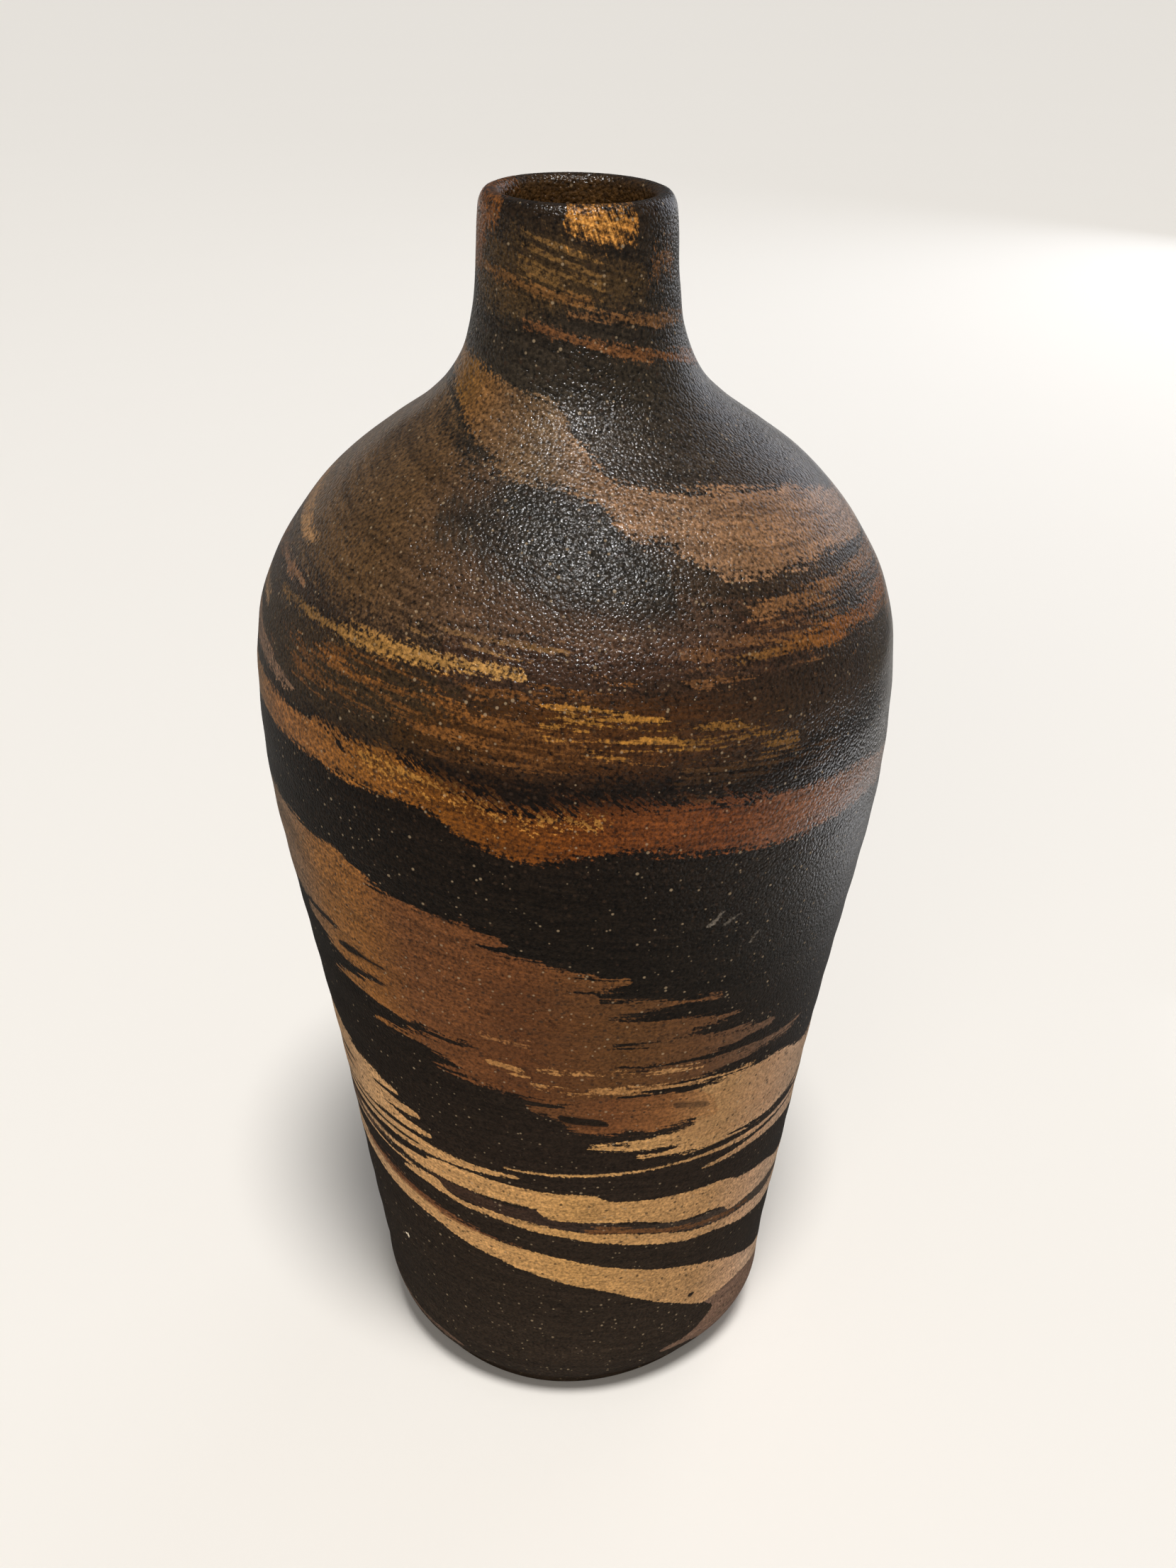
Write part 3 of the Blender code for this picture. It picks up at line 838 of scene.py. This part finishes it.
paint = lay(paint, STREAKED, PALE_GOLD, (2, 110, 112.8), (9, 109.8, 113.2), (16, 109.6, 113),
            strength=0.55)
paint = lay(paint, STREAKED, PALE_GOLD, (16, 109.8, 112.6), (22, 109.4, 112.8), (28, 108.8, 113),
            (33, 107.8, 111.6), (38, 107, 110), strength=0.38)
paint = lay(paint, STREAKED, "5E4020", (16, 105, 108), (30, 104.6, 108), (48, 104, 107), strength=0.5)
tell("strokes")

# %% Lines of light clay under the glaze
paint = lay(paint, MELTED, "170D06", (-24, 107.6, 108.8), (-12, 105.4, 107.8), (0, 104.8, 107.4),
            (15, 105, 107.4), (35, 104, 106.6), (58, 102.4, 105), strength=0.75)
paint = lay(paint, STREAKED, "6A4626", (18, 117, 120.6), (40, 116.6, 122.4), (60, 116.4, 122.4),
            (85, 115, 121), strength=0.45)
paint = lay(paint, SOFT, "6E5440", (-95, 111, 115), (-80, 110.5, 114.2), (-70, 110.6, 112.8),
            (-62, 110.2, 111.5), (-55, 110.1, 110.6))
paint = lay(paint, SOFT, "7E6244", (-110, 116, 119), (-90, 115.8, 118), (-80, 115.8, 117.2),
            (-73, 115.8, 116.4))
paint = lay(paint, SOFT, ((-60, "5E4526"), (-34, "866232"), (-12, "9A7440")), (-68, 118.4, 119.2),
            (-50, 118.4, 119.4), (-32, 118.2, 119.5), (-20, 118.2, 119.3), (-8, 118.2, 118.9))
paint = lay(paint, STREAKED, "846234", (-30, 120.4, 122.6), (-20, 120.2, 122.8), (-12, 120, 122.4),
            (-2, 119.8, 121.6), strength=0.8)
paint = lay(paint, SOFT, ((30, "5C4020"), (52, "6E421A")), (27, 118.2, 118.7), (35, 118, 119),
            (45, 117.4, 119), (55, 117.2, 118.8), (65, 117, 118.4), (80, 116.6, 117.6))
paint = lay(paint, SOFT, "6C4B2E", (32, 121.9, 122.3), (40, 121.8, 123), (50, 121.7, 123),
            (60, 121.4, 122.6), (70, 120.8, 122), (100, 119, 120.5), (130, 117.5, 118))
paint = lay(paint, SOFT, "6A4C34", (-100, 120.6, 122.6), (-80, 120.3, 121.8), (-70, 120.6, 121.4),
            (-60, 120.6, 121))
tell("lines under the glaze")

# %% Shoulder
paint = lay(paint, MELTED, ((-90, "5A4630"), (-45, "503A22"), (-20, "533E2D"), (10, "4A372A")),
            (-110, 124, 139), (-80, 123.5, 139.5), (-60, 122.5, 138), (-40, 121.5, 135.5),
            (-20, 121, 133), (-10, 121, 128), (10, 121, 125), (28, 121, 123), strength=0.85)
paint = lay(paint, MELTED, "24211C", (-34, 130.6, 131.4), (-26, 129, 132.6), (-15, 126.4, 134),
            (-5, 124.6, 133.6), (8, 123.4, 132), (18, 122.8, 127), strength=0.85)
paint = lay(paint, SOFT, "86643E", (-150, 127.8, 128.5), (-120, 126.5, 129.5), (-90, 124.8, 127.6),
            (-80, 124.2, 126.2), (-72, 124, 125.2), (-64, 124.5, 125))
SHOULDER = ((-90, "6E5230"), (-60, "66471F"), (-45, "6C4C2A"), (-30, "604830"), (-10, "5A4834"),
            (10, "73563C"), (25, "7A5D44"), (40, "7C5C40"), (80, "80624A"))
paint = lay(paint, SOFT, SHOULDER, (-140, 144, 145.2), (-110, 142, 145), (-90, 141, 144.3),
            (-80, 140.8, 144), (-60, 139.6, 143.2), (-50, 138.2, 142.6), (-40, 136.8, 142),
            (-30, 135.8, 141.4), (-20, 134.5, 140.9), (-10, 134.1, 140.5), (-5, 133.8, 139.4),
            (0, 133.4, 137), (8, 132.2, 135), (10, 130.4, 134.4), (15, 129.3, 133.8), (20, 129, 133.4),
            (25, 127.6, 133), (30, 125.9, 132.7), (40, 125.3, 132.4), (50, 124.9, 131.7),
            (60, 124.8, 131), (70, 123.7, 129.6), (80, 122.8, 128), (120, 120.5, 125),
            (160, 118.5, 121.5), (178, 118, 118.8))
tell("shoulder")

# %% [markdown]
# ## Neck and lip
# The neck is the thinnest drawn part, so its lines of rusty clay are fine and nearly level, and two
# patches of ochre have come up to the lip.

# %% Neck
paint = lay(paint, MELTED, "46341C", (-70, 149, 157), (-40, 149, 157), (-10, 150, 157), (20, 150.5, 155),
            (40, 151, 153), strength=0.7)
paint = lay(paint, STREAKED, "7C5A2C", (-34, 152, 156.6), (-12, 151.6, 157), (0, 151.4, 156),
            (14, 150.6, 154), strength=0.34)
paint = lay(paint, SOFT, "5E4020", (-120, 154, 155.5), (-75, 152.6, 154), (-60, 152.6, 153.8),
            (-45, 152, 153.4), (-30, 151.4, 152.6), (-15, 151, 151.9), (0, 150.6, 151.2),
            (8, 150.5, 150.8))
paint = lay(paint, SOFT, "5A3A20", (-30, 147.8, 148.2), (-15, 147.2, 147.9), (0, 146.3, 147.0),
            (15, 145.4, 146.1), (30, 144.8, 145.5), (45, 144.1, 144.8), (60, 143.3, 144.2),
            (80, 142.2, 143.2), (120, 140, 141), (150, 138.6, 139))
paint = lay(paint, SOFT, "5C3F24", (-5, 149.2, 149.5), (15, 148.8, 149.4), (35, 147.9, 148.9),
            (50, 147.4, 148.7), (62, 147.4, 148.5), (80, 147, 148), (110, 146.6, 147))
paint = lay(paint, FLECKED, "6E4824", (42, 152, 153.5), (50, 152, 155.5), (60, 152.5, 155.8),
            (68, 153, 154.5), strength=0.7)
paint = lay(paint, MELTED, ((-100, "7E4A1C"), (-62, "6A401A")), (-130, 156, 160.5),
            (-100, 153.4, 160.5), (-80, 153.5, 160.5), (-68, 154.2, 160.5), (-60, 157, 160.5),
            (-50, 158.6, 160.5), strength=0.9)
paint = lay(paint, MELTED, "A87232", (-6, 159.0, 160), (0, 158.4, 160), (7, 157.4, 160), (15, 157.1, 160),
            (22, 157.0, 159.8), (28, 157.6, 159.4), (34, 158.4, 159.0), strength=0.95)
paint = lay(paint, FLECKED, "C49450", (-2, 158.4, 159.4), (12, 157.4, 159.4), (26, 157.4, 159.2),
            strength=0.4)
tell("neck and lip, the last of the bands,")

# %% [markdown]
# ## Grain
# The clay is never one flat colour. Streaks along the spiral make it lighter and darker, more so under
# the glaze, and the grog mottles it. Coarse grog shows as dark specks in the tan and pale ones in the
# dark; the pale specks are partly painted highlights too, sparks of light on the glaze put into the
# colour. Inside the bottle the glaze has pooled and gone brown.

# %% Inside and glaze
BARE_BELOW, GLAZED_ABOVE = 0.36, 0.68    # shares of the height between which the glaze thins out
POOLED_GLAZE = "483219"

how_inside = put(tree, "ShaderNodeAttribute", attribute_name="inside").outputs["Fac"]
heights = {"Value": level, "From Min": BARE_BELOW, "From Max": GLAZED_ABOVE}
glazed = put(tree, "ShaderNodeMapRange", heights, interpolation_type="SMOOTHSTEP")
wet = put(tree, "ShaderNodeMath", {0: glazed, 1: how_inside}, operation="MAXIMUM")
paint = cover(paint, how_inside, POOLED_GLAZE)
tell("glaze inside")

# %% Shade and specks
SHADE_BARE, SHADE_MORE = 0.2, 0.14       # how strongly streaks shade the bare clay, and glazed clay more
GRAIN_BARE, GRAIN_MORE = 2.4, 1.4        # and how strongly the grog mottles them
SPECK_MM = 1.25
PALE_SPECK_MM = 0.95
DARK_CORE, DARK_RIM = 0.12, 0.22         # where a speck starts to fade and ends, in shares of its cell
PALE_CORE, PALE_RIM = 0.18, 0.28
DARK_GROG = "33251A"
# Pale specks: partly pale grog, partly painted sparks of light on the glaze.
PALE_GROG_AND_SPARKLE = "A08C70"

streaky = put(tree, "ShaderNodeMapRange", {"Value": streak.outputs[0], "From Min": 0.35, "From Max": 0.65,
                                           "To Min": -1.0, "To Max": 1.0})
shade_deep = put(tree, "ShaderNodeMath", {0: wet, 1: SHADE_MORE, 2: SHADE_BARE}, operation="MULTIPLY_ADD")
shade = put(tree, "ShaderNodeMath", {0: streaky, 1: shade_deep, 2: 1.0}, operation="MULTIPLY_ADD")
grain_off = put(tree, "ShaderNodeMath", {0: grog.outputs[0], 1: -0.5}, operation="ADD")
grain_deep = put(tree, "ShaderNodeMath", {0: wet, 1: GRAIN_MORE, 2: GRAIN_BARE}, operation="MULTIPLY_ADD")
grain = put(tree, "ShaderNodeMath", {0: grain_off, 1: grain_deep, 2: 1.0}, operation="MULTIPLY_ADD")
both = put(tree, "ShaderNodeMath", {0: shade, 1: grain}, operation="MULTIPLY")
paint = put(tree, "ShaderNodeVectorMath", {0: paint, "Scale": both}, operation="SCALE").outputs[0]

dark_cells = put(tree, "ShaderNodeTexVoronoi", {"Vector": spot, "Scale": 1 / (SPECK_MM * MM)})
fade = {"Value": dark_cells.outputs["Distance"], "From Min": DARK_CORE, "From Max": DARK_RIM,
        "To Min": 0.75, "To Max": 0.0}
paint = cover(paint, put(tree, "ShaderNodeMapRange", fade), DARK_GROG)
# The pale specks are partly grog and partly painted sparkle highlights.
pale_cells = put(tree, "ShaderNodeTexVoronoi", {"Vector": spot, "Scale": 1 / (PALE_SPECK_MM * MM),
                                                "Randomness": 0.9})
some_cells = put(tree, "ShaderNodeMath", {0: pale_cells.outputs["Color"], 1: 0.3,
                                          2: pale_cells.outputs["Distance"]}, operation="MULTIPLY_ADD")
fade = {"Value": some_cells, "From Min": PALE_CORE, "From Max": PALE_RIM, "To Min": 0.6, "To Max": 0.0}
paint = cover(paint, put(tree, "ShaderNodeMapRange", fade), PALE_GROG_AND_SPARKLE)
tell("grain and specks")

# %% [markdown]
# ## Gloss and touch
# The glaze thins out downwards, so roughness rises from a satin glaze at the top to bare, fired clay
# at the bottom. Under the glaze the clay is porous and mirrors very little, and as little all over,
# so its specular level is one low number set on the shader's own socket. The grog stands up under the
# glaze in small domes, and each dome catches the light as a spark; the bare clay has the finer grain
# of its grog. Both skins are bump, because they are too fine to model. The glaze itself is the
# shader's clear coat, which is what it is on the pot.

# %% Glaze, skin and shader
PEEL_MM = 0.4
PEEL_DEEP = 0.10 * MM
GRAIN_DEEP = 0.12 * MM
GLAZE_COAT = 0.26
COAT_ROUGHNESS = 0.085
CLAY_GLEAM = 0.15

roughness = put(tree, "ShaderNodeMapRange", {"Value": wet, "To Min": 0.6, "To Max": 0.3})
grains = put(tree, "ShaderNodeTexVoronoi", {"Vector": spot, "Scale": 1 / (PEEL_MM * MM)})
domes = put(tree, "ShaderNodeMath", {0: grains.outputs["Distance"], 1: 2.0}, operation="POWER")
peel_strength = put(tree, "ShaderNodeMapRange", {"Value": wet, "To Min": 0.4, "To Max": 1.0})
peel = {"Strength": peel_strength, "Distance": PEEL_DEEP, "Height": domes}
peel_bump = put(tree, "ShaderNodeBump", peel, invert=True)
grain_bump = put(tree, "ShaderNodeBump", {"Strength": 1.0, "Distance": GRAIN_DEEP,
                                          "Height": grog.outputs[0], "Normal": peel_bump})
coat = put(tree, "ShaderNodeMath", {0: wet, 1: GLAZE_COAT}, operation="MULTIPLY")
shader = put(tree, "ShaderNodeBsdfPrincipled", {"Base Color": paint, "Roughness": roughness,
                                                "Normal": grain_bump, "IOR": 1.5,
                                                "Specular IOR Level": CLAY_GLEAM, "Coat Weight": coat,
                                                "Coat Roughness": COAT_ROUGHNESS,
                                                "Coat Normal": grain_bump})
put(tree, "ShaderNodeOutputMaterial", {"Surface": shader})
bottle_data.materials.append(clay)
print(len(tree.nodes), "nodes in the finish")
